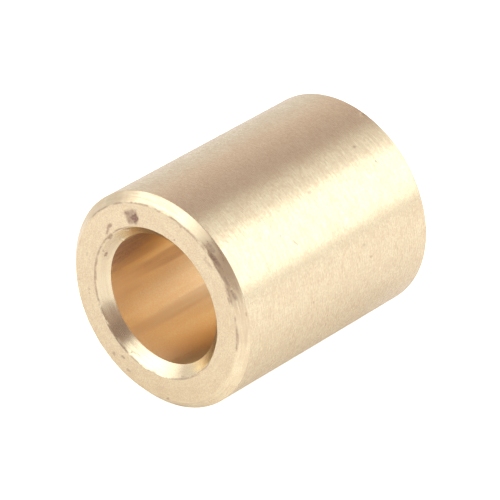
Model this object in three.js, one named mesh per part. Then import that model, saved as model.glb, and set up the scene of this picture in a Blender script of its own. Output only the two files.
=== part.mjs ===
// A plain bronze sleeve bushing: one turned ring with a straight bore through it.
// The outside is pressed into a housing and a shaft turns in the bore. Both ends are faced flat,
// with a chamfer round the outside to start the press fit and one at the bore to lead the shaft in.
// Millimetres, +Z up. The bore axis lies along Y and the origin is the middle of the bore.

import * as THREE from 'three';

// Driving dimensions.
const boreDiameter = 12;
const outsideDiameter = 20;
const bushingLength = 25;

// Each chamfer has a width across the end face and a depth along the axis. Equal ones make 45 degrees.
const outerChamferWidth = 0.8;
const outerChamferDepth = 0.8;
const boreChamferWidth = 1.0;
const boreChamferDepth = 1.0;

// Flat facets that stand for the round surfaces. A multiple of 4 keeps the full diameter on X and Z.
const facetsAround = 128;

// Radii of the four turned steps, from the shaft outwards.
const boreRadius = boreDiameter / 2;
const faceInnerRadius = boreRadius + boreChamferWidth;
const outsideRadius = outsideDiameter / 2;
const faceOuterRadius = outsideRadius - outerChamferWidth;
const halfLength = bushingLength / 2;

// One end of the section, from the bore wall round to the outside. end is -1 at the front, +1 at the rear.
function endCorners(end) {
  const endFace = end * halfLength;
  return [
    new THREE.Vector2(boreRadius, endFace - end * boreChamferDepth),
    new THREE.Vector2(faceInnerRadius, endFace),
    new THREE.Vector2(faceOuterRadius, endFace),
    new THREE.Vector2(outsideRadius, endFace - end * outerChamferDepth),
  ];
}

// The wall's section is a closed loop: across the front end, along the outside, back across the rear.
function wallSection() {
  const front = endCorners(-1);
  const rear = endCorners(1).reverse();
  return [...front, ...rear, front[0].clone()];
}

// The section is turned about Y, which is the bore axis.
function makeSleeve(material) {
  const sleeve = new THREE.Mesh(new THREE.LatheGeometry(wallSection(), facetsAround), material);
  sleeve.name = 'sleeve';
  return sleeve;
}

const bronze = new THREE.MeshStandardMaterial({
  name: 'bronze',
  color: 0xdcbf96,
  roughness: 0.36,
  metalness: 1.0,
});

const bushing = new THREE.Group();
bushing.name = 'bronze_sleeve_bushing';
bushing.add(makeSleeve(bronze));

export default bushing;
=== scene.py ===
"""A bronze sleeve bushing that lies on its side on a pale floor, built around its CAD model.

The sleeve is turned from a fine section with rounded edges and worn with small dents, stains and
burrs. It has five finishes: a brushed outside, matte end faces, an outer chamfer, a brighter bore
chamfer and a bored inside. A stage of pale floor, soft lights and camera goes round it.
"""

import math
from collections import namedtuple

import bpy
import numpy as np
from bpy.props import FloatProperty, FloatVectorProperty, IntProperty, PointerProperty
from mathutils import Matrix, Vector, noise


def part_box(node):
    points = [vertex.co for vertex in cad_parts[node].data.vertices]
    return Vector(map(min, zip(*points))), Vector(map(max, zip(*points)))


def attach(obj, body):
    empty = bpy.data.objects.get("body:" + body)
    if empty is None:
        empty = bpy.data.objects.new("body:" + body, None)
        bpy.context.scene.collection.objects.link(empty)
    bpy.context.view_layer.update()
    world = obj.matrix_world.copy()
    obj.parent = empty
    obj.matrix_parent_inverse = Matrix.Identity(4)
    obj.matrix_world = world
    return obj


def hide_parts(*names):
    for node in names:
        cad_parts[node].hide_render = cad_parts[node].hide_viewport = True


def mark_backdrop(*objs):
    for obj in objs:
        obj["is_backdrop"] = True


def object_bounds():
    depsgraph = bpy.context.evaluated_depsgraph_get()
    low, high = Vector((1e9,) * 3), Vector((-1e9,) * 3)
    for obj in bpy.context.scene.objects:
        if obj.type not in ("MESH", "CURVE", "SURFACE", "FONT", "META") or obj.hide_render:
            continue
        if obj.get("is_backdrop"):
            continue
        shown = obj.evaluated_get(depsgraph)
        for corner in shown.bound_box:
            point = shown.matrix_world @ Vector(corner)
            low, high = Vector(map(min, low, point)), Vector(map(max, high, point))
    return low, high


bl_info = {
    "name": "Bronze Sleeve Bushing",
    "version": (1, 0, 0),
    "blender": (4, 5, 0),
    "location": "3D View > Sidebar > Bushing",
    "description": "Turns a worn bronze sleeve bushing around its CAD model and sets a soft studio stage",
    "category": "Object",
}

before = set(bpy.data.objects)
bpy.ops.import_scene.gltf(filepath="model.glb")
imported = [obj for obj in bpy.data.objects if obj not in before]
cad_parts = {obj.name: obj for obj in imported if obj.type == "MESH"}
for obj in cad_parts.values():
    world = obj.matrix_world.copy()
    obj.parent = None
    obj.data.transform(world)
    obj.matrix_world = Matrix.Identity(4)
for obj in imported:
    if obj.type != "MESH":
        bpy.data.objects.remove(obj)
cad_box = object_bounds()

MM = 0.001
CAD_SLEEVE = "sleeve"
BODY = "root"

# The finishes, in the order of the sleeve's material slots.
FINISHES = ("brushed_outside", "faced_end", "outer_chamfer", "bore_chamfer", "bored_inside")


# ---------------------------------------------------------------- sizes from the CAD model


SleeveSizes = namedtuple(
    "SleeveSizes",
    "centre bore_radius face_inner face_outer outside_radius half_length bore_depth outer_depth",
)


def measure_sleeve():
    """The radii and depths of the turned steps, in metres, read from the CAD sleeve."""
    low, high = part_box(CAD_SLEEVE)
    centre = (low + high) / 2
    points = np.array([v.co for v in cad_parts[CAD_SLEEVE].data.vertices])
    radius = np.hypot(points[:, 0] - centre.x, points[:, 2] - centre.z)
    from_front = points[:, 1] - low.y
    touching = 0.01 * MM
    bore_radius = radius.min()
    outside_radius = radius.max()
    on_front_face = radius[from_front < touching]
    return SleeveSizes(
        centre=centre,
        bore_radius=bore_radius,
        face_inner=on_front_face.min(),
        face_outer=on_front_face.max(),
        outside_radius=outside_radius,
        half_length=(high.y - low.y) / 2,
        bore_depth=from_front[radius < bore_radius + touching].min(),
        outer_depth=from_front[radius > outside_radius - touching].min(),
    )


# ---------------------------------------------------------------- the turned section


Ring = namedtuple("Ring", "radius along finish")


def evenly(start, end, spacing, support):
    """Points from start up to but not including end, near this spacing, with one close to each end."""
    length = math.dist(start, end)
    steps = max(1, round(length / spacing))
    places = [i / steps for i in range(1, steps)]
    places = [0.0, support / length, *places, 1 - support / length]
    return [tuple(a + (b - a) * place for a, b in zip(start, end)) for place in places]


def round_corner(before, corner, after, size, steps):
    """Points of an arc that rounds the corner, tangent to both sides."""
    before, corner, after = (Vector(p) for p in (before, corner, after))
    into = (before - corner).normalized()
    away = (after - corner).normalized()
    half_angle = into.angle(away) / 2
    tangent = size / math.tan(half_angle)
    middle = corner + (into + away).normalized() * size / math.sin(half_angle)
    start = corner + into * tangent - middle
    end = corner + away * tangent - middle
    turn = start.angle_signed(end)
    return [tuple(middle + Matrix.Rotation(-turn * i / steps, 2) @ start) for i in range(steps + 1)]


def end_section(sizes, end, settings, detail):
    """Rings from the middle of the bore, over one end, to the middle of the outside."""

    def at(radius, depth):
        return (radius, end * (sizes.half_length - depth))

    corners = [
        at(sizes.bore_radius, sizes.half_length),
        at(sizes.bore_radius, sizes.bore_depth),
        at(sizes.face_inner, 0),
        at(sizes.face_outer, 0),
        at(sizes.outside_radius, sizes.outer_depth),
        at(sizes.outside_radius, sizes.half_length),
    ]
    finishes = ("bored_inside", "bore_chamfer", "faced_end", "outer_chamfer", "brushed_outside")
    edge_finishes = ("bore_chamfer", "bore_chamfer", "outer_chamfer", "outer_chamfer")
    coarse = settings.land_spacing
    spacings = (2 * coarse, detail, detail, detail, coarse)
    edge_size = settings.edge_rounding
    rings = []
    start = corners[0]
    for i, (finish, spacing) in enumerate(zip(finishes, spacings)):
        arc = []
        if i + 2 < len(corners):
            arc = round_corner(*corners[i : i + 3], edge_size, settings.edge_steps)
        stop = arc[0] if arc else corners[-1]
        rings += [Ring(*p, finish) for p in evenly(start, stop, spacing, settings.edge_rounding / 2)]
        rings += [Ring(*p, edge_finishes[i]) for p in arc[:-1]]
        start = arc[-1] if arc else stop
    return rings


def add_rings_near(rings, places, reach, spacing):
    """Closer rings on the outside wherever a mark sits, so that its shape holds."""
    wanted = list(rings)
    outside = [r for r in rings if r.finish == "brushed_outside"]
    low = min(r.along for r in outside)
    high = max(r.along for r in outside)
    for place in places:
        for step in np.arange(-reach, reach + spacing / 2, spacing):
            along = place + step
            if low < along < high and min(abs(along - r.along) for r in outside) > spacing / 3:
                extra = Ring(outside[0].radius, along, "brushed_outside")
                outside.append(extra)
                wanted.append(extra)
    return wanted


# Rings stand this close together on the outside, as far as this to each side of a mark's middle.
MARK_RING_SPACING = 0.1 * MM
MARK_RING_REACH = 0.3 * MM


def whole_section(sizes, settings):
    """The closed loop of rings: up the front end, along the outside, down the rear end and back."""
    front = end_section(sizes, -1, settings, settings.front_detail)
    rear = end_section(sizes, 1, settings, settings.rear_detail)
    along_outside = [r for r in front + rear if r.finish == "brushed_outside"]
    middle = Ring(sizes.outside_radius, 0.0, "brushed_outside")
    places = [mark_centre(m, sizes)[1] for m in MARKS if m.surface == "outside"]
    outside = add_rings_near(along_outside + [middle], places, MARK_RING_REACH, MARK_RING_SPACING)
    outside.sort(key=lambda r: r.along)
    front_part = [r for r in front if r.finish != "brushed_outside"]
    # Both ends start at the middle of the bore, so the rear end's first ring is left out.
    rear_part = [r for r in rear if r.finish != "brushed_outside"][1:]
    # A ring's finish is that of the strip after it, so the rear end, which is walked backwards, takes
    # its strips from the ring before.
    rear_back = [
        Ring(r.radius, r.along, before.finish)
        for r, before in zip(reversed(rear_part), [*reversed(rear_part)][1:] + [front_part[0]])
    ]
    return front_part + outside + rear_back


# ---------------------------------------------------------------- wear marks


Mark = namedtuple("Mark", "surface turn place around across lean depth stain")

# Wear: each row holds what follows surface in a Mark. turn is in degrees round the bore
# axis from the top, towards +X. place is in mm: the radius on the front face or a front chamfer, and the
# distance from the front end on the outside or in the bore. around and across are half widths in mm, and
# lean turns them in degrees. depth is in mm, and negative for a raised burr. stain is from 0 to 1.
MARKS_BY_SURFACE = {
    "front_face": (
        (-19.0, 7.88, 0.80, 0.70, 4, 0.004, 0.62),
        (-16.8, 7.80, 0.50, 0.42, 25, 0.006, 0.95),
        (-22.0, 8.20, 0.30, 0.26, -6, 0.004, 0.70),
        (-14.6, 8.50, 0.18, 0.10, 0, 0.010, 0.35),
        (-43.0, 7.62, 0.45, 0.18, 12, 0.012, 0.62),
        (-47.5, 7.36, 0.34, 0.13, 20, 0.010, 0.50),
        (44.0, 8.62, 0.50, 0.16, 8, 0.010, 0.28),
        (41.0, 8.78, 0.14, 0.16, 30, 0.010, 0.25),
        (2.8, 9.05, 0.24, 0.09, 0, 0.014, 0.50),
        (19.0, 9.02, 0.18, 0.10, -20, 0.014, 0.42),
        (15.0, 9.08, 0.22, 0.18, 10, 0.045, 0.10),
        (67.8, 9.00, 0.34, 0.09, -8, 0.014, 0.52),
        (63.0, 9.10, 0.30, 0.07, 0, 0.012, 0.40),
        (-151.0, 7.80, 0.26, 0.13, 15, 0.012, 0.55),
        (-144.5, 8.42, 0.16, 0.22, 10, 0.012, 0.42),
        (-158.0, 8.52, 0.24, 0.14, 0, 0.012, 0.42),
        (-101.0, 7.82, 0.12, 0.16, 0, 0.010, 0.28),
        (-76.0, 8.08, 0.22, 0.10, -15, 0.010, 0.24),
        (126.5, 8.38, 0.18, 0.09, 0, 0.010, 0.22),
        (171.5, 9.05, 0.20, 0.10, 20, 0.014, 0.50),
        (-96.0, 8.85, 0.12, 0.08, 0, 0.008, 0.25),
    ),
    "outer_chamfer": (
        (44.5, 9.40, 0.75, 0.18, 3, 0.016, 0.75),
        (39.0, 9.60, 0.55, 0.18, 0, 0.012, 0.50),
        (57.0, 9.40, 0.50, 0.10, 0, 0.012, 0.45),
        (61.0, 9.78, 0.40, 0.10, 0, 0.010, 0.20),
        (65.0, 9.50, 0.50, 0.15, 10, 0.012, 0.50),
        (89.5, 9.28, 0.55, 0.08, 4, 0.018, 0.52),
        (76.5, 9.92, 0.20, 0.07, 0, 0.012, 0.45),
        (84.0, 9.60, 1.60, 0.45, 0, 0.0, 0.08),
        (-31.0, 9.60, 1.20, 0.50, 0, 0.0, 0.16),
    ),
    "bore_chamfer": (
        (-49.5, 6.84, 0.42, 0.14, 4, 0.022, 0.60),
        (-56.5, 6.94, 0.32, 0.06, 0, 0.020, 0.42),
        (-30.0, 6.78, 0.42, 0.17, -4, 0.022, 0.42),
        (-39.0, 6.95, 0.60, 0.05, 0, 0.020, 0.35),
        (-69.5, 6.52, 0.26, 0.11, -10, 0.020, 0.85),
        (-66.5, 6.72, 0.16, 0.09, 35, 0.015, 0.65),
        (-89.0, 6.92, 0.48, 0.05, 0, 0.020, 0.45),
        (-77.0, 6.93, 0.38, 0.05, 0, 0.020, 0.40),
        (-160.2, 6.60, 0.20, 0.055, 4, 0.012, 0.50),
        (-156.3, 6.68, 0.24, 0.055, 20, 0.012, 0.50),
        (-154.0, 6.80, 0.06, 0.12, -20, 0.012, 0.50),
        (-157.0, 6.97, 0.40, 0.05, -8, 0.012, 0.35),
        (136.0, 6.90, 0.85, 0.06, 0, 0.015, 0.35),
        (155.0, 6.82, 0.26, 0.07, -12, 0.015, 0.50),
        (-47.0, 6.08, 0.07, 0.14, 0, -0.060, 0.0),
        (-58.0, 6.50, 2.30, 0.50, 0, 0.0, 0.18),
        (-96.0, 6.50, 2.60, 0.50, 0, 0.0, 0.09),
        (-135.0, 6.50, 0.75, 0.50, 0, 0.0, 0.20),
        (-116.0, 6.50, 0.75, 0.50, 0, 0.0, 0.18),
    ),
    "bore": (
        # These rows do not dent the bore: they only darken long streaks and patches along it.
        (-99.5, 16.0, 0.75, 14.0, 0, 0.0, 0.40),
        (-143.0, 13.0, 0.70, 13.0, 0, 0.0, 0.20),
        (-65.0, 1.5, 1.85, 4.6, 0, 0.0, 0.68),
        (-102.0, 1.5, 1.30, 3.2, 0, 0.0, 0.15),
        (-83.0, 2.5, 0.60, 4.5, 0, 0.0, 0.30),
    ),
    "outside": (
        (57.5, 8.50, 0.45, 0.05, 30, 0.006, 0.60),
        (51.6, 9.75, 0.16, 0.10, 0, 0.005, 0.18),
        (83.5, 16.7, 0.24, 0.08, 80, 0.010, 0.50),
        (76.0, 16.0, 0.12, 0.24, 0, 0.006, 0.30),
        (39.0, 12.7, 0.10, 0.26, 0, 0.006, 0.25),
        (30.0, 20.2, 0.10, 0.22, 0, 0.008, 0.45),
        (86.0, 20.0, 0.30, 0.16, 0, 0.004, 0.20),
        (16.4, 23.9, 0.22, 0.22, 0, 0.050, 0.0),
    ),
}

MARKS = [Mark(surface, *row) for surface, rows in MARKS_BY_SURFACE.items() for row in rows]


def on_section(surface, place, sizes):
    """Where a mark sits on the section, as (radius, along), and the direction across it there."""
    front = -sizes.half_length
    slope = math.sqrt(0.5)
    if surface == "front_face":
        return (place, front), (1, 0)
    if surface == "outer_chamfer":
        return (place, front + place - sizes.face_outer), (slope, slope)
    if surface == "bore_chamfer":
        return (place, front + sizes.face_inner - place), (slope, -slope)
    if surface == "bore":
        return (sizes.bore_radius, front + place), (0, 1)
    return (sizes.outside_radius, front + place), (0, 1)


def mark_centre(mark, sizes):
    return on_section(mark.surface, mark.place * MM, sizes)[0]


def fade(values, full, none):
    """1 where a value is at full or past it, 0 at none, and a smooth step between."""
    t = np.clip((values - none) / (full - none), 0, 1)
    return t * t * (3 - 2 * t)


def roughly(points, size, seed=0.0):
    """Smooth noise at each point, about -1 to 1, with features of about this size."""
    return np.array([noise.noise(Vector(p) / size + Vector((seed, seed, seed))) for p in points])


# A mark's outline is ragged at this size. The raggedness in mm is held, so that it suits small marks.
OUTLINE_GRAIN = 0.3 * MM
MOST_RAGGEDNESS = 0.24
# Shares of a mark's half widths: full inside the first, none outside the second, and not looked at past
# the third, which leaves room for the ragged outline.
MARK_FULL = 0.7
MARK_NONE = 1.15
MARK_LIMIT = 1.8
# A mark may wrap over an edge by this much, but a streak in the bore stops at its chamfer.
MARK_WRAP = 0.3 * MM
STREAK_WRAP = 0.02 * MM


def mark_mask(mark, section, turns, points, sizes, raggedness):
    """How strongly a mark acts on each point, from 0 to 1, with an uneven outline."""
    (radius, along), (out, deep) = on_section(mark.surface, mark.place * MM, sizes)
    turned = (turns - math.radians(mark.turn) + math.pi) % (2 * math.pi) - math.pi
    around = turned * radius
    across = (section[:, 0] - radius) * out + (section[:, 1] - along) * deep
    off_surface = (section[:, 0] - radius) * deep - (section[:, 1] - along) * out
    lean = math.radians(mark.lean)
    u = around * math.cos(lean) + across * math.sin(lean)
    v = across * math.cos(lean) - around * math.sin(lean)
    reach = np.cbrt(np.abs(u / (mark.around * MM)) ** 3 + np.abs(v / (mark.across * MM)) ** 3)
    raggedness = min(raggedness, MOST_RAGGEDNESS / (mark.around + mark.across))
    wrap = STREAK_WRAP if mark.surface == "bore" else MARK_WRAP
    near = np.nonzero((reach < MARK_LIMIT) & (np.abs(off_surface) < wrap))[0]
    ragged_reach = reach[near] + raggedness * roughly(points[near], OUTLINE_GRAIN)
    mask = np.zeros(len(points))
    mask[near] = fade(ragged_reach, MARK_FULL, MARK_NONE)
    return mask


# Inside a mark, depth and stain vary by these shares, in grains of this size.
WEAR_GRAIN = 0.25 * MM
DEPTH_VARIES = 0.6
STAIN_VARIES = 0.5


def wear_down(section, turns, points, normals, sizes, settings):
    """Moves each mark's points into the metal, or out of it for a burr, and returns every stain."""
    stain = np.zeros(len(points))
    for mark in MARKS:
        mask = mark_mask(mark, section, turns, points, sizes, settings.raggedness)
        touched = np.nonzero(mask)[0]
        grit = roughly(points[touched], WEAR_GRAIN)
        depth = mark.depth * MM * mask[touched] * (1 + DEPTH_VARIES * grit)
        points[touched] -= normals[touched] * depth[:, None]
        spread = np.clip(mask[touched] * (1 + STAIN_VARIES * grit), 0, 1)
        stain[touched] = np.maximum(stain[touched], mark.stain * spread)
    return stain


# Waves in a chamfer's depth, as waves in one turn, share of the whole and start in radians.
CHAMFER_WAVES = ((2, 0.45, 0.7), (5, 0.30, 2.1), (11, 0.25, 4.0))
# Nibbles reach this far from a face's edge, are this large, and cover a little over half of it.
NIBBLE_REACH = 0.16 * MM
NIBBLE_SIZE = 0.45 * MM
NIBBLE_SHARE = 0.15
NIBBLE_SEED = 7.0


def uneven_chamfers(points, normals, section, finish_of_ring, sizes, settings):
    """Chamfers cut by hand feed run slightly deep here and shallow there, and their edges are ragged."""
    around = settings.facets_around
    turn = 2 * math.pi * np.arange(around) / around
    depth = np.zeros(around)
    for waves, share, start in CHAMFER_WAVES:
        depth += share * (0.5 + 0.5 * np.sin(waves * turn + start))
    depth *= settings.chamfer_waver
    for ring, finish in enumerate(finish_of_ring):
        if finish.endswith("chamfer"):
            rows = slice(ring * around, (ring + 1) * around)
            radius, along = section[ring]
            to_edge = min(abs(radius - edge) for edge in (sizes.face_inner, sizes.face_outer))
            near_edge = fade(to_edge, 0.0, NIBBLE_REACH)
            nibbled = np.clip(roughly(points[rows], NIBBLE_SIZE, NIBBLE_SEED) + NIBBLE_SHARE, 0, 1)
            sunk = depth + nibbled * near_edge * settings.edge_nibbles
            points[rows] -= normals[rows] * sunk[:, None]


# Where dirt stayed in the edges of the front face: the edge, and the middle and half length of the
# stretch, in degrees round the bore.
GRIMY_STRETCHES = (
    ("inner", -93.0, 80.0),
    ("inner", 142.0, 28.0),
    ("inner", -168.0, 14.0),
    ("outer", -36.0, 18.0),
    ("outer", 2.0, 34.0),
    ("outer", 58.0, 14.0),
    ("outer", 87.0, 12.0),
)


# The dirt lies this far off the face's edge, fades between these distances from there, and is broken
# up at a large and a small size.
GRIME_OFFSET = 0.03 * MM
GRIME_FULL = 0.03 * MM
GRIME_NONE = 0.15 * MM
GRIME_BREAKS = 0.9 * MM
GRIME_CRUMBS = 0.25 * MM
GRIME_SEEDS = (3.0, 5.0)
# A stretch tapers from this share of its half length, and is whole up to the first of these noise
# values and clean past the second.
GRIME_TAPER = 0.7
GRIME_GAPS = (-0.1, 0.7)


def edge_grime(section, turns, points, sizes, settings):
    """Dirt in broken lines where the front face meets its two chamfers."""
    grime = np.zeros(len(points))
    for edge, middle, reach in GRIMY_STRETCHES:
        radius = sizes.face_inner - GRIME_OFFSET if edge == "inner" else sizes.face_outer + GRIME_OFFSET
        away = np.hypot(section[:, 0] - radius, section[:, 1] + sizes.half_length)
        turned = np.degrees((turns - math.radians(middle) + math.pi) % (2 * math.pi) - math.pi)
        near = np.nonzero((away < GRIME_NONE) & (np.abs(turned) < reach))[0]
        line = fade(away[near], GRIME_FULL, GRIME_NONE)
        line *= fade(np.abs(turned[near]), GRIME_TAPER * reach, reach)
        breaks, crumbs = (
            roughly(points[near], size, seed)
            for size, seed in zip((GRIME_BREAKS, GRIME_CRUMBS), GRIME_SEEDS)
        )
        unbroken = fade(breaks + 0.5 * crumbs, *GRIME_GAPS)
        grime[near] = np.maximum(grime[near], line * unbroken * settings.edge_grime)
    return grime


# ---------------------------------------------------------------- mesh


def ring_normals(rings):
    """The direction out of the metal at each ring, as (radius, along), square to the section."""
    loop = np.array([(r.radius, r.along) for r in rings])
    chord = np.roll(loop, -1, axis=0) - np.roll(loop, 1, axis=0)
    chord /= np.linalg.norm(chord, axis=1)[:, None]
    return np.stack([chord[:, 1], -chord[:, 0]], axis=1)


def turn_about_axis(values, around):
    """Each (radius, along) pair, carried round the bore axis, ring after ring."""
    turn = 2 * math.pi * np.arange(around) / around
    out = np.stack([np.sin(turn), np.zeros(around), np.cos(turn)], axis=1)
    axis = np.array([0.0, 1.0, 0.0])
    return (values[:, 0, None, None] * out + values[:, 1, None, None] * axis).reshape(-1, 3)


def turned_mesh(rings, sizes, settings):
    """The sleeve's closed mesh, one strip of quads between each ring and the next."""
    around = settings.facets_around
    section = np.array([(r.radius, r.along) for r in rings])
    out_2d = ring_normals(rings)
    points = turn_about_axis(section, around)
    normals = turn_about_axis(out_2d, around)
    uneven_chamfers(points, normals, section, [r.finish for r in rings], sizes, settings)
    turns = np.tile(2 * math.pi * np.arange(around) / around, len(rings))
    every_section = np.repeat(section, around, axis=0)
    grime = edge_grime(every_section, turns, points, sizes, settings)
    stain = np.maximum(grime, wear_down(every_section, turns, points, normals, sizes, settings))

    ring_of = np.arange(len(rings))[:, None] * around
    next_ring = (np.roll(np.arange(len(rings)), -1))[:, None] * around
    here = np.arange(around)[None, :]
    beside = np.roll(np.arange(around), -1)[None, :]
    # In this order of corners the quads face out of the metal.
    quads = np.stack([ring_of + here, ring_of + beside, next_ring + beside, next_ring + here], axis=2)
    mesh = bpy.data.meshes.new("turned_sleeve")
    mesh.from_pydata((points + np.array(sizes.centre)).tolist(), [], quads.reshape(-1, 4).tolist())
    strip_finish = np.repeat([FINISHES.index(r.finish) for r in rings], around)
    mesh.polygons.foreach_set("material_index", strip_finish.astype(np.int32))
    mesh.polygons.foreach_set("use_smooth", np.ones(len(strip_finish), bool))
    layer = mesh.attributes.new("stain", "FLOAT", "POINT")
    layer.data.foreach_set("value", stain.astype(np.float32))
    mesh.validate()
    mesh.update()
    return mesh


# ---------------------------------------------------------------- shader building blocks


def new_group(name, inputs, outputs):
    """A shader node group. inputs are (name, kind, default) and outputs are (name, kind)."""
    group = bpy.data.node_groups.new(name, "ShaderNodeTree")
    for label, kind, default in inputs:
        socket = group.interface.new_socket(label, in_out="INPUT", socket_type="NodeSocket" + kind)
        if default is not None:
            socket.default_value = default
    for label, kind in outputs:
        group.interface.new_socket(label, in_out="OUTPUT", socket_type="NodeSocket" + kind)
    return group, group.nodes.new("NodeGroupInput").outputs, group.nodes.new("NodeGroupOutput").inputs


def plug(tree, value, socket):
    """Links an output to the socket, or sets the socket to a plain value."""
    if isinstance(value, bpy.types.NodeSocket):
        tree.links.new(value, socket)
    else:
        socket.default_value = value


def put(tree, kind, inputs=None, **settings):
    """A node with its settings made and its inputs set or linked."""
    node = tree.nodes.new("ShaderNode" + kind)
    for name, value in settings.items():
        setattr(node, name, value)
    for name, value in (inputs or {}).items():
        plug(tree, value, node.inputs[name])
    return node


def math_node(tree, operation, *values):
    node = put(tree, "Math", dict(enumerate(values)), operation=operation)
    return node.outputs[0]


def remap(tree, value, from_low, from_high, to_low, to_high):
    """The value moved smoothly from one span to another, and held at its ends."""
    spans = {1: from_low, 2: from_high, 3: to_low, 4: to_high}
    return put(tree, "MapRange", {0: value, **spans}, interpolation_type="SMOOTHSTEP").outputs[0]


def blend_colour(tree, share, first, second):
    node = put(tree, "Mix", {0: share, 6: first, 7: second}, data_type="RGBA")
    return node.outputs[2]


def use_group(tree, group, inputs):
    node = tree.nodes.new("ShaderNodeGroup")
    node.node_tree = group
    for name, value in inputs.items():
        plug(tree, value, node.inputs[name])
    return node.outputs


def dot_product(tree, first, second):
    node = put(tree, "VectorMath", {0: first, 1: second}, operation="DOT_PRODUCT")
    return node.outputs["Value"]


def noise_4d(tree, where, seed, scale, detail, roughness):
    """Smooth noise whose seed picks one of many patterns."""
    inputs = {"Vector": where, "W": seed, "Scale": scale, "Detail": detail, "Roughness": roughness}
    return put(tree, "TexNoise", inputs, noise_dimensions="4D").outputs["Fac"]


# Noise between these values is spread over 0 to 1, so a narrower span gives more contrast.
LINE_SPAN = (0.37, 0.63)
PATCH_SPAN = (0.34, 0.68)
GRIT_SPAN = (0.3, 0.7)
# A speck is full up to the first of these radii and gone at the second, as shares of its cell.
SPECK_RADII = (0.05, 0.13)


def lathe_lines_group():
    """Fine lines that run round the bore axis, each fading in and out along its run."""
    group, given, result = new_group(
        "Lathe Lines",
        [
            ("Position", "Vector", None),
            ("Across", "Float", 0.0),
            ("Lines per mm", "Float", 8.0),
            ("Runs per mm", "Float", 0.3),
            ("Seed", "Float", 0.0),
        ],
        [("Lines", "Float")],
    )
    across = math_node(group, "DIVIDE", given["Across"], MM)
    fine = math_node(group, "MULTIPLY", across, given["Lines per mm"])
    per_metre = math_node(group, "DIVIDE", given["Runs per mm"], MM)
    place = put(group, "SeparateXYZ", {0: given["Position"]}).outputs
    along_x = math_node(group, "MULTIPLY", place["X"], per_metre)
    along_z = math_node(group, "MULTIPLY", place["Z"], per_metre)
    where = put(group, "CombineXYZ", {0: along_x, 1: fine, 2: along_z}).outputs[0]
    grain = noise_4d(group, where, given["Seed"], scale=1.0, detail=2.0, roughness=0.6)
    plug(group, remap(group, grain, *LINE_SPAN, 0.0, 1.0), result["Lines"])
    return group


def tilt_group():
    """Leans the surface to and fro along its lathe lines, so that they show where reflections change."""
    group, given, result = new_group(
        "Tilt Along Lines",
        [("Lines", "Float", 0.5), ("Around", "Vector", None), ("Tilt", "Float", 0.05)],
        [("Normal", "Vector")],
    )
    off_middle = math_node(group, "SUBTRACT", given["Lines"], 0.5)
    lean = math_node(group, "MULTIPLY", off_middle, given["Tilt"])
    sideways = put(group, "VectorMath", {0: given["Around"], "Scale": lean}, operation="SCALE").outputs[0]
    normal = put(group, "NewGeometry").outputs["Normal"]
    leaning = put(group, "VectorMath", {0: normal, 1: sideways}, operation="ADD").outputs[0]
    leant = put(group, "VectorMath", {0: leaning}, operation="NORMALIZE").outputs[0]
    plug(group, leant, result["Normal"])
    return group


def mottle_group():
    """Soft patches of handling and oxide, and fine grit, each from 0 to 1."""
    group, given, result = new_group(
        "Mottle",
        [
            ("Position", "Vector", None),
            ("Patches per mm", "Float", 0.4),
            ("Grit per mm", "Float", 8.0),
            ("Seed", "Float", 0.0),
        ],
        [("Patches", "Float"), ("Grit", "Float")],
    )
    per_metre = math_node(group, "DIVIDE", given["Patches per mm"], MM)
    patches = noise_4d(group, given["Position"], given["Seed"], per_metre, detail=3.0, roughness=0.55)
    plug(group, remap(group, patches, *PATCH_SPAN, 0.0, 1.0), result["Patches"])
    grit_per_metre = math_node(group, "DIVIDE", given["Grit per mm"], MM)
    grit = noise_4d(group, given["Position"], given["Seed"], grit_per_metre, detail=2.0, roughness=0.6)
    plug(group, remap(group, grit, *GRIT_SPAN, 0.0, 1.0), result["Grit"])
    return group


def specks_group():
    """A few small dark pits, round and well apart. Share is how many cells hold one."""
    group, given, result = new_group(
        "Specks",
        [("Position", "Vector", None), ("Cells per mm", "Float", 0.9), ("Share", "Float", 0.2)],
        [("Specks", "Float")],
    )
    per_metre = math_node(group, "DIVIDE", given["Cells per mm"], MM)
    cells = put(group, "TexVoronoi", {"Vector": given["Position"], "Scale": per_metre}, feature="F1")
    dot = remap(group, cells.outputs["Distance"], *SPECK_RADII, 1.0, 0.0)
    chosen = put(group, "SeparateColor", {0: cells.outputs["Color"]}).outputs[0]
    kept = math_node(group, "LESS_THAN", chosen, given["Share"])
    plug(group, math_node(group, "MULTIPLY", dot, kept), result["Specks"])
    return group


def bronze_colour_group():
    """Bronze that is pale where clean, warmer in its grain and patches, and dark where stained."""
    group, given, result = new_group(
        "Bronze Colour",
        [
            ("Clean", "Color", None),
            ("Warm", "Color", None),
            ("Stained", "Color", None),
            ("Warmth", "Float", 0.0),
            ("Stain", "Float", 0.0),
        ],
        [("Colour", "Color")],
    )
    metal = blend_colour(group, given["Warmth"], given["Clean"], given["Warm"])
    plug(group, blend_colour(group, given["Stain"], metal, given["Stained"]), result["Colour"])
    return group


# ---------------------------------------------------------------- finishes


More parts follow.
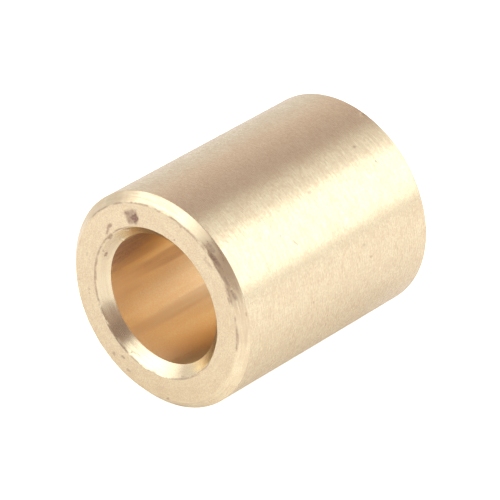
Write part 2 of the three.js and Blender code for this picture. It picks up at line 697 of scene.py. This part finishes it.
# How each finish is worked, in the order of FINISHES: outside, end, outer chamfer, bore chamfer, bore.
# across says which way the lines are counted: along the axis on the outside and in the bore, outwards
# on the ends. Heights are in metres. The colour, dark and rough rows say how far the lines, grit and
# patches change each of those.
FINISH_TABLE = {
    "across": ("axis", "radius", "radius", "radius", "axis"),
    "lines_per_mm": (7.0, 4.0, 6.0, 7.0, 0.04),
    "runs_per_mm": (0.9, 0.5, 0.4, 0.2, 1.5),
    "patches_per_mm": (0.7, 0.8, 0.6, 0.6, 0.7),
    "grit_per_mm": (4.2, 8.5, 8.4, 8.4, 8.5),
    "seed": (1.0, 2.0, 3.0, 3.0, 4.0),
    "line_tilt": (0.010, 0.015, 0.045, 0.022, 0.006),
    "line_height": (1.0e-6, 0.5e-6, 1.0e-6, 1.0e-6, 0.0),
    "line_colour": (0.20, 0.15, 0.30, 0.25, 0.30),
    "line_dark": (0.05, 0.02, 0.06, 0.02, 0.00),
    "line_rough": (0.09, 0.03, 0.10, 0.06, 0.04),
    "grit_height": (0.6e-6, 5.0e-6, 0.9e-6, 0.4e-6, 2.0e-6),
    "grit_colour": (0.60, 0.85, 0.45, 0.35, 1.00),
    "grit_dark": (0.07, 0.13, 0.00, 0.04, 0.03),
    "grit_rough": (0.02, 0.00, 0.06, 0.00, 0.00),
    "patch_colour": (0.30, 0.35, 0.60, 0.30, 0.10),
    "speck_share": (0.05, 0.16, 0.00, 0.00, 0.00),
    "roughness": (0.28, 0.42, 0.32, 0.22, 0.345),
    "anisotropic": (0.50, 0.10, 0.20, 0.20, 0.82),
}

Finish = namedtuple("Finish", FINISH_TABLE)
FINISH_VALUES = {name: Finish(*column) for name, column in zip(FINISHES, zip(*FINISH_TABLE.values()))}


# A stain is this strong off the grit and on it, and dark metal is rougher by this share.
STAIN_OFF_GRIT = 1.2
STAIN_ON_GRIT = 0.7
DARK_ROUGHER = 0.2
# A quarter turn, so that reflections stretch across the lathe lines.
ACROSS_THE_LINES = 0.25


def finish_colours(name, looks):
    """The clean, warm and stained bronze of a finish. The bore's are brighter and more golden: painted
    light for the light that bounces round inside the bore.
    """
    if name == "bored_inside":
        colours = (looks.bore_bronze_painted_light, looks.bore_warm_painted_light, looks.bore_stained_painted_light)
    else:
        colours = (looks.clean_bronze, looks.warm_bronze, looks.stained_bronze)
    return [(*colour, 1.0) for colour in colours]


def finish_material(name, groups, looks):
    """One finish of the bronze: its grain, patches, pits and stains over a metal surface."""
    values = FINISH_VALUES[name]
    material = bpy.data.materials.new(name)
    material.use_nodes = True
    tree = material.node_tree
    tree.nodes.clear()

    position = put(tree, "TexCoord").outputs["Object"]
    axes = put(tree, "SeparateXYZ", {0: position}).outputs
    across = axes["Y"]
    if values.across == "radius":
        flat = put(tree, "CombineXYZ", {0: axes["X"], 2: axes["Z"]}).outputs[0]
        across = put(tree, "VectorMath", {0: flat}, operation="LENGTH").outputs["Value"]

    lines = use_group(
        tree,
        groups["lines"],
        {
            "Position": position,
            "Across": across,
            "Lines per mm": values.lines_per_mm,
            "Runs per mm": values.runs_per_mm,
            "Seed": values.seed,
        },
    )["Lines"]
    mottle = use_group(
        tree,
        groups["mottle"],
        {
            "Position": position,
            "Patches per mm": values.patches_per_mm,
            "Grit per mm": values.grit_per_mm,
            "Seed": values.seed,
        },
    )
    grit = mottle["Grit"]
    speck_inputs = {"Position": position, "Share": values.speck_share}
    specks = use_group(tree, groups["specks"], speck_inputs)["Specks"]
    stain = put(tree, "Attribute", attribute_name="stain").outputs["Fac"]

    line_warmth = math_node(tree, "MULTIPLY", lines, values.line_colour)
    grit_warmth = math_node(tree, "MULTIPLY_ADD", grit, values.grit_colour, line_warmth)
    warmth = math_node(tree, "MULTIPLY_ADD", mottle["Patches"], values.patch_colour, grit_warmth)
    thinning = remap(tree, grit, 0.0, 1.0, STAIN_OFF_GRIT, STAIN_ON_GRIT)
    patchy = math_node(tree, "MULTIPLY", stain, thinning)
    pits = math_node(tree, "MULTIPLY", specks, looks.speck_darkness)
    pitted = math_node(tree, "MAXIMUM", patchy, pits)
    lined = math_node(tree, "MULTIPLY_ADD", lines, values.line_dark, pitted)
    dark = math_node(tree, "MULTIPLY_ADD", grit, values.grit_dark, lined)
    clean, warm, stained = finish_colours(name, looks)
    colour = use_group(
        tree,
        groups["colour"],
        {"Clean": clean, "Warm": warm, "Stained": stained, "Warmth": warmth, "Stain": dark},
    )["Colour"]

    smoothest = values.roughness - values.line_rough / 2
    line_rough = math_node(tree, "MULTIPLY_ADD", lines, values.line_rough, smoothest)
    grit_rough = math_node(tree, "MULTIPLY_ADD", grit, values.grit_rough, -values.grit_rough / 2)
    worked_rough = math_node(tree, "ADD", line_rough, grit_rough)
    roughness = math_node(tree, "MULTIPLY_ADD", dark, DARK_ROUGHER, worked_rough)

    line_height = math_node(tree, "MULTIPLY", lines, values.line_height / MM)
    height = math_node(tree, "MULTIPLY_ADD", grit, values.grit_height / MM, line_height)
    tangent = put(tree, "Tangent", direction_type="RADIAL", axis="Y").outputs[0]
    tilt_inputs = {"Lines": lines, "Around": tangent, "Tilt": values.line_tilt}
    tilted = use_group(tree, groups["tilt"], tilt_inputs)["Normal"]
    bump_inputs = {"Strength": 1.0, "Distance": MM, "Height": height, "Normal": tilted}
    bump = put(tree, "Bump", bump_inputs).outputs[0]

    shader = put(
        tree,
        "BsdfPrincipled",
        {
            "Base Color": colour,
            "Metallic": 1.0,
            "Roughness": roughness,
            "Anisotropic": values.anisotropic,
            "Anisotropic Rotation": ACROSS_THE_LINES,
            "Normal": bump,
            "Tangent": tangent,
        },
    )
    out = put(tree, "OutputMaterial")
    plug(tree, shader.outputs[0], out.inputs["Surface"])
    return material


def bronze_materials(looks):
    groups = {
        "lines": lathe_lines_group(),
        "tilt": tilt_group(),
        "mottle": mottle_group(),
        "specks": specks_group(),
        "colour": bronze_colour_group(),
    }
    return [finish_material(name, groups, looks) for name in FINISHES]


# ---------------------------------------------------------------- stage


# The way that lies behind the sleeve on its left, and how far along it the board's glow fades.
BEHIND_SLEEVE = (-0.77, 0.64, 0.0)
GLOW_FULL = 18 * MM
GLOW_FADED = 64 * MM


def floor_material(stage):
    """Pale matte board. The camera sees it brighter than the metal does, as an overexposed sweep."""
    material = bpy.data.materials.new("pale_board")
    material.use_nodes = True
    tree = material.node_tree
    tree.nodes.clear()
    board = put(
        tree,
        "BsdfPrincipled",
        {"Base Color": (*stage.floor_colour, 1.0), "Roughness": 0.9, "Specular IOR Level": 0.1},
    )
    place = put(tree, "TexCoord").outputs["Object"]
    behind = dot_product(tree, place, BEHIND_SLEEVE)
    open_glow = remap(tree, behind, GLOW_FULL, GLOW_FADED, stage.floor_glow, stage.floor_glow_behind)
    # The glow is dimmed under and round the sleeve: a painted shadow.
    shadowed_glow = math_node(tree, "MULTIPLY", open_glow, glow_after_painted_shadow(tree, place))
    seen = put(tree, "LightPath").outputs["Is Camera Ray"]
    seen_glow = math_node(tree, "MULTIPLY_ADD", seen, stage.floor_lift, shadowed_glow)
    glow = put(tree, "Emission", {"Color": (1, 1, 1, 1), "Strength": seen_glow})
    both = put(tree, "AddShader", {0: board.outputs[0], 1: glow.outputs[0]})
    out = put(tree, "OutputMaterial")
    plug(tree, both.outputs[0], out.inputs["Surface"])
    return material


# A shadow of the sleeve is painted into the board's glow. The sleeve covers the board this far to each
# side of its middle, along its axis. Past that, distance counts this many times as much as it does
# sideways. The glow grows from its painted-shadow share to all of it between the two distances.
SHADOW_HALF_LENGTH = 10.5 * MM
PAST_END_COUNTS = 3.0
SHADOWED_GLOW_SHARE = 0.55
SHADOW_FADES_FROM = 4 * MM
SHADOW_GONE_AT = 20 * MM


def glow_after_painted_shadow(tree, place):
    """How much of the board's glow is left after a painted shadow of the sleeve: part of it under the
    sleeve, and all of it well clear.
    """
    axes = put(tree, "SeparateXYZ", {0: place}).outputs
    beside = math_node(tree, "ABSOLUTE", axes["X"])
    from_middle = math_node(tree, "ABSOLUTE", axes["Y"])
    past_end = math_node(tree, "SUBTRACT", from_middle, SHADOW_HALF_LENGTH)
    past_end = math_node(tree, "MAXIMUM", past_end, 0.0)
    past_end = math_node(tree, "MULTIPLY", past_end, PAST_END_COUNTS)
    squares = [math_node(tree, "POWER", way, 2.0) for way in (beside, past_end)]
    away = math_node(tree, "SQRT", math_node(tree, "ADD", *squares))
    return remap(tree, away, SHADOW_FADES_FROM, SHADOW_GONE_AT, SHADOWED_GLOW_SHARE, 1.0)


BOARD_FACETS = 96
BOARD_RINGS = (0.03, 0.1, 0.3, 1.0)


def lay_floor(stage, level):
    """A wide round sheet under the sleeve, finer towards its middle."""
    mesh = bpy.data.meshes.new("floor")
    around = BOARD_FACETS
    points = [(0.0, 0.0, level)]
    faces = []
    rings = [stage.floor_radius * share for share in BOARD_RINGS]
    for radius in rings:
        for i in range(around):
            turn = 2 * math.pi * i / around
            points.append((radius * math.cos(turn), radius * math.sin(turn), level))
    for i in range(around):
        after = (i + 1) % around
        faces.append((0, 1 + i, 1 + after))
        for ring in range(1, len(rings)):
            inner = 1 + (ring - 1) * around
            outer = inner + around
            faces.append((inner + i, outer + i, outer + after, inner + after))
    mesh.from_pydata(points, [], faces)
    mesh.materials.append(floor_material(stage))
    floor = bpy.data.objects.new("floor", mesh)
    bpy.context.collection.objects.link(floor)
    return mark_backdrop(floor)


SoftLight = namedtuple("SoftLight", "middle side half_width half_height raise_by softness")

# Where each light hangs, as a direction from the sleeve, and the direction of its width. The half sizes
# are as seen from one metre away, raise_by moves the light up by that much, and softness is the share
# of the half sizes over which its edge fades to each side.
LONG_BACK_LIGHT = SoftLight((0.81, 0.0, 0.586), (0.586, 0.0, -0.81), 0.53, 1.4, 1.7, 0.27)
BACK_LIGHT_SPILL = SoftLight((0.42, 0.0, 0.91), (0.91, 0.0, -0.42), 0.44, 1.4, 1.7, 0.60)
KEY_LIGHT = SoftLight((-0.43, -0.55, 0.716), (0.84, -0.52, 0.10), 0.76, 0.60, 0.0, 0.16)
DARK_CAMERA_SIDE = SoftLight((0.40, -0.75, 0.53), (0.88, 0.47, 0.0), 0.66, 0.50, 0.0, 0.45)


# Ahead of a light counts as no less than this, so that nothing behind it divides by zero.
LEAST_AHEAD = 0.001
# A light's middle level gives way to its edge level over this many half sizes.
LEVEL_REACH = 1.1


def soft_light_group():
    """Where a soft rectangular light covers the surround, and how near its middle that is."""
    group, given, result = new_group(
        "Soft Light",
        [
            ("Direction", "Vector", None),
            ("Middle", "Vector", None),
            ("Width Way", "Vector", None),
            ("Height Way", "Vector", None),
            ("Half Width", "Float", 0.5),
            ("Half Height", "Float", 0.5),
            ("Raise By", "Float", 0.0),
            ("Softness", "Float", 0.2),
        ],
        [("Cover", "Float"), ("Middleness", "Float")],
    )
    direction = given["Direction"]
    ahead = dot_product(group, direction, given["Middle"])
    ahead = math_node(group, "MAXIMUM", ahead, LEAST_AHEAD)
    raised = given["Raise By"]
    reaches = []
    for way, half, shift in (("Width Way", "Half Width", 0.0), ("Height Way", "Half Height", raised)):
        slope = math_node(group, "DIVIDE", dot_product(group, direction, given[way]), ahead)
        off_middle = math_node(group, "ABSOLUTE", math_node(group, "SUBTRACT", slope, shift))
        reaches.append(math_node(group, "DIVIDE", off_middle, given[half]))
    inner = math_node(group, "SUBTRACT", 1.0, given["Softness"])
    outer = math_node(group, "ADD", 1.0, given["Softness"])
    covers = [remap(group, reach, inner, outer, 1.0, 0.0) for reach in reaches]
    plug(group, math_node(group, "MULTIPLY", *covers), result["Cover"])
    farther = math_node(group, "MAXIMUM", *reaches)
    plug(group, remap(group, farther, 0.0, LEVEL_REACH, 1.0, 0.0), result["Middleness"])
    return group


def hang_light(tree, group, direction, light):
    """One soft light in the surround. Returns its Cover and Middleness."""
    middle = Vector(light.middle).normalized()
    side = Vector(light.side)
    side = (side - middle * side.dot(middle)).normalized()
    return use_group(
        tree,
        group,
        {
            "Direction": direction,
            "Middle": middle,
            "Width Way": side,
            "Height Way": middle.cross(side),
            "Half Width": light.half_width,
            "Half Height": light.half_height,
            "Raise By": light.raise_by,
            "Softness": light.softness,
        },
    )


# Heights in the surround, as the sine of the angle above the horizon, between which it dims and gets
# its tint.
DIMS_BETWEEN = (0.4, 0.95)
TINTS_BETWEEN = (0.0, 0.6)


def soft_surround(stage):
    """The room round the sleeve: pale at the horizon, dim overhead, lit softly, white to the camera."""
    world = bpy.data.worlds.new("soft_surround")
    bpy.context.scene.world = world
    world.use_nodes = True
    tree = world.node_tree
    tree.nodes.clear()
    direction = put(tree, "TexCoord").outputs["Generated"]
    group = soft_light_group()
    height = put(tree, "SeparateXYZ", {0: direction}).outputs["Z"]
    room_level = remap(tree, height, *DIMS_BETWEEN, stage.horizon_brightness, stage.ceiling_brightness)
    tinted = remap(tree, height, *TINTS_BETWEEN, 0.0, 1.0)
    room_tint = blend_colour(tree, tinted, (1, 1, 1, 1), (*stage.ceiling_tint, 1))
    surround = put(tree, "Background", {"Color": room_tint, "Strength": room_level}).outputs[0]
    plain = (1, 1, 1)
    for light, tint, middle_level, edge_level in (
        (DARK_CAMERA_SIDE, stage.camera_side_tint, stage.camera_side_brightness, stage.camera_side_edge),
        (BACK_LIGHT_SPILL, plain, stage.spill_brightness, stage.spill_brightness),
        (LONG_BACK_LIGHT, plain, stage.back_brightness, stage.back_brightness),
        (KEY_LIGHT, plain, stage.key_brightness, stage.key_edge_brightness),
    ):
        hung = hang_light(tree, group, direction, light)
        level = math_node(tree, "MULTIPLY_ADD", hung["Middleness"], middle_level - edge_level, edge_level)
        lit = put(tree, "Background", {"Color": (*tint, 1), "Strength": level})
        mix = put(tree, "MixShader", {0: hung["Cover"], 1: surround, 2: lit.outputs[0]})
        surround = mix.outputs[0]
    seen = put(tree, "LightPath").outputs["Is Camera Ray"]
    white = put(tree, "Background", {"Color": (1, 1, 1, 1), "Strength": 1.0})
    both = put(tree, "MixShader", {0: seen, 1: surround, 2: white.outputs[0]})
    out = put(tree, "OutputWorld")
    plug(tree, both.outputs[0], out.inputs["Surface"])


def aim_camera(stage, centre):
    azimuth = math.radians(stage.camera_azimuth)
    elevation = math.radians(stage.camera_elevation)
    back = Vector(
        (
            math.sin(azimuth) * math.cos(elevation),
            -math.cos(azimuth) * math.cos(elevation),
            math.sin(elevation),
        ))
    turn = (-back).to_track_quat("-Z", "Y")
    aim = centre + turn @ Vector((stage.aim_right, stage.aim_up, 0))
    camera = bpy.data.cameras.new("camera")
    camera.sensor_width = 36
    camera.lens = stage.camera_lens
    camera.clip_start = 0.01
    camera.clip_end = 10
    holder = bpy.data.objects.new("camera", camera)
    holder.rotation_mode = "QUATERNION"
    holder.rotation_quaternion = turn
    holder.location = aim + back * stage.camera_distance
    bpy.context.collection.objects.link(holder)
    bpy.context.scene.camera = holder


# ---------------------------------------------------------------- settings


def length_field(name, description, default):
    return FloatProperty(name=name, description=description, default=default, unit="LENGTH")


def colour_field(name, description, default):
    return FloatVectorProperty(name=name, description=description, default=default, subtype="COLOR")


def share_field(name, description, default):
    return FloatProperty(name=name, description=description, default=default, subtype="FACTOR")


def number_field(name, description, default):
    return FloatProperty(name=name, description=description, default=default)


class BushingShape(bpy.types.PropertyGroup):
    """How finely the sleeve is turned and how worn its shape is."""

    facets_around: IntProperty(
        name="Facets around", description="Facets round the bore axis", default=512, min=64
    )
    edge_rounding: length_field("Edge rounding", "Radius of the broken edges", 0.08 * MM)
    edge_steps: IntProperty(
        name="Edge steps", description="Facets across each rounded edge", default=3, min=1
    )
    land_spacing: length_field("Land spacing", "Space between rings on the plain outside", 1.25 * MM)
    front_detail: length_field("Front detail", "Space between rings on the front end", 0.1 * MM)
    rear_detail: length_field("Rear detail", "Space between rings on the rear end", 0.2 * MM)
    raggedness: share_field("Raggedness", "How uneven the outline of each mark is", 0.35)
    chamfer_waver: length_field("Chamfer waver", "How much the chamfers' depth varies", 0.02 * MM)
    edge_nibbles: length_field("Edge nibbles", "Depth of the ragged places on the edges", 0.06 * MM)
    edge_grime: share_field("Edge grime", "Darkest dirt in the edges of the front face", 0.6)


class BronzeLooks(bpy.types.PropertyGroup):
    """The colours of the bronze."""

    clean_bronze: colour_field("Clean bronze", "Freshly cut metal", (0.87, 0.775, 0.54))
    warm_bronze: colour_field(
        "Warm bronze", "Metal in the grain and in old patches", (0.785, 0.64, 0.435)
    )
    # The bore's three colours are brighter, more golden copies of the bronze: painted light for the light
    # that bounces round inside the bore.
    bore_bronze_painted_light: colour_field("Bored bronze", "Metal in the bore, more golden", (1.0, 0.87, 0.61))
    bore_warm_painted_light: colour_field("Warm bored bronze", "Its grain and patches", (0.99, 0.735, 0.435))
    bore_stained_painted_light: colour_field("Stained bored bronze", "Its stains", (0.45, 0.21, 0.13))
    stained_bronze: colour_field("Stained bronze", "Oxide in pits and dents", (0.31, 0.195, 0.15))
    speck_darkness: share_field("Speck darkness", "How dark the small pits are", 0.40)


class StageSettings(bpy.types.PropertyGroup):
    """Floor, surround, lights and camera."""

    floor_colour: colour_field("Floor colour", "Pale board", (0.90, 0.90, 0.90))
    floor_glow: number_field(
        "Floor glow", "Light that comes up through the board, as on a light table", 0.305
    )
    floor_glow_behind: number_field(
        "Floor glow behind", "The same, far behind the sleeve on its left", 0.03
    )
    floor_lift: number_field("Floor lift", "How much brighter the camera sees the board", 0.8)
    floor_radius: length_field("Floor radius", "Size of the board", 3.0)
    horizon_brightness: number_field("Horizon", "Brightness at the horizon", 0.82)
    ceiling_brightness: number_field("Ceiling", "Brightness overhead", 0.415)
    ceiling_tint: colour_field("Ceiling tint", "Colour of the room overhead", (1.0, 0.83, 0.815))
    camera_side_brightness: number_field(
        "Camera side", "Brightness of the dim room behind the camera", 0.33
    )
    camera_side_edge: number_field("Camera side edge", "Brightness at the edge of that dim part", 0.52)
    camera_side_tint: colour_field("Camera side tint", "Its colour", (1.0, 0.75, 0.68))
    back_brightness: number_field("Back light", "Brightness of the long one", 1.88)
    spill_brightness: number_field("Back light spill", "Brightness round its top", 1.1)
    key_brightness: number_field("Key light", "Brightness of its middle", 2.2)
    key_edge_brightness: number_field("Key light edge", "Brightness at its edge", 1.1)
    camera_azimuth: number_field(
        "Azimuth", "Camera direction, in degrees round from looking along +Y", 41.03
    )
    camera_elevation: number_field("Elevation", "Camera height above the horizon, in degrees", 29.55)
    camera_distance: length_field("Distance", "From the sleeve's middle", 0.3982)
    camera_lens: number_field("Lens", "Focal length in mm", 330.6)
    aim_right: length_field("Aim right", "Sideways from the sleeve's middle", -0.152 * MM)
    aim_up: length_field("Aim up", "Upwards from the sleeve's middle", -0.118 * MM)


# ---------------------------------------------------------------- operators


class BUSHING_OT_turn_sleeve(bpy.types.Operator):
    """Turn the bronze sleeve, wear its surface and finish it"""

    bl_idname = "bushing.turn_sleeve"
    bl_label = "Turn Sleeve"

    def execute(self, context):
        shape = context.scene.bushing_shape
        sizes = measure_sleeve()
        mesh = turned_mesh(whole_section(sizes, shape), sizes, shape)
        for material in bronze_materials(context.scene.bronze_looks):
            mesh.materials.append(material)
        sleeve = bpy.data.objects.new("turned_sleeve", mesh)
        context.collection.objects.link(sleeve)
        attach(sleeve, BODY)
        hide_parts(CAD_SLEEVE)
        return {"FINISHED"}


class BUSHING_OT_set_stage(bpy.types.Operator):
    """Lay the pale floor, hang the soft lights and aim the camera"""

    bl_idname = "bushing.set_stage"
    bl_label = "Set Stage"

    def execute(self, context):
        stage = context.scene.bushing_stage
        low, high = cad_box
        lay_floor(stage, low.z)
        soft_surround(stage)
        aim_camera(stage, (low + high) / 2)
        context.scene.view_settings.view_transform = "Standard"
        return {"FINISHED"}


class BUSHING_PT_panel(bpy.types.Panel):
    """Sizes, colours and steps of the bushing"""

    bl_idname = "BUSHING_PT_panel"
    bl_label = "Bronze Sleeve Bushing"
    bl_space_type = "VIEW_3D"
    bl_region_type = "UI"
    bl_category = "Bushing"

    def draw(self, context):
        scene = context.scene
        for group in (scene.bushing_shape, scene.bronze_looks, scene.bushing_stage):
            box = self.layout.box()
            for name in group.__annotations__:
                box.prop(group, name)
        for operator in (BUSHING_OT_turn_sleeve, BUSHING_OT_set_stage):
            self.layout.operator(operator.bl_idname)


CLASSES = (
    BushingShape,
    BronzeLooks,
    StageSettings,
    BUSHING_OT_turn_sleeve,
    BUSHING_OT_set_stage,
    BUSHING_PT_panel,
)


def register():
    for cls in CLASSES:
        bpy.utils.register_class(cls)
    bpy.types.Scene.bushing_shape = PointerProperty(type=BushingShape)
    bpy.types.Scene.bronze_looks = PointerProperty(type=BronzeLooks)
    bpy.types.Scene.bushing_stage = PointerProperty(type=StageSettings)


def unregister():
    del bpy.types.Scene.bushing_stage
    del bpy.types.Scene.bronze_looks
    del bpy.types.Scene.bushing_shape
    for cls in reversed(CLASSES):
        bpy.utils.unregister_class(cls)


def main():
    register()
    bpy.ops.bushing.turn_sleeve()
    bpy.ops.bushing.set_stage()


if __name__ == "__main__":
    main()
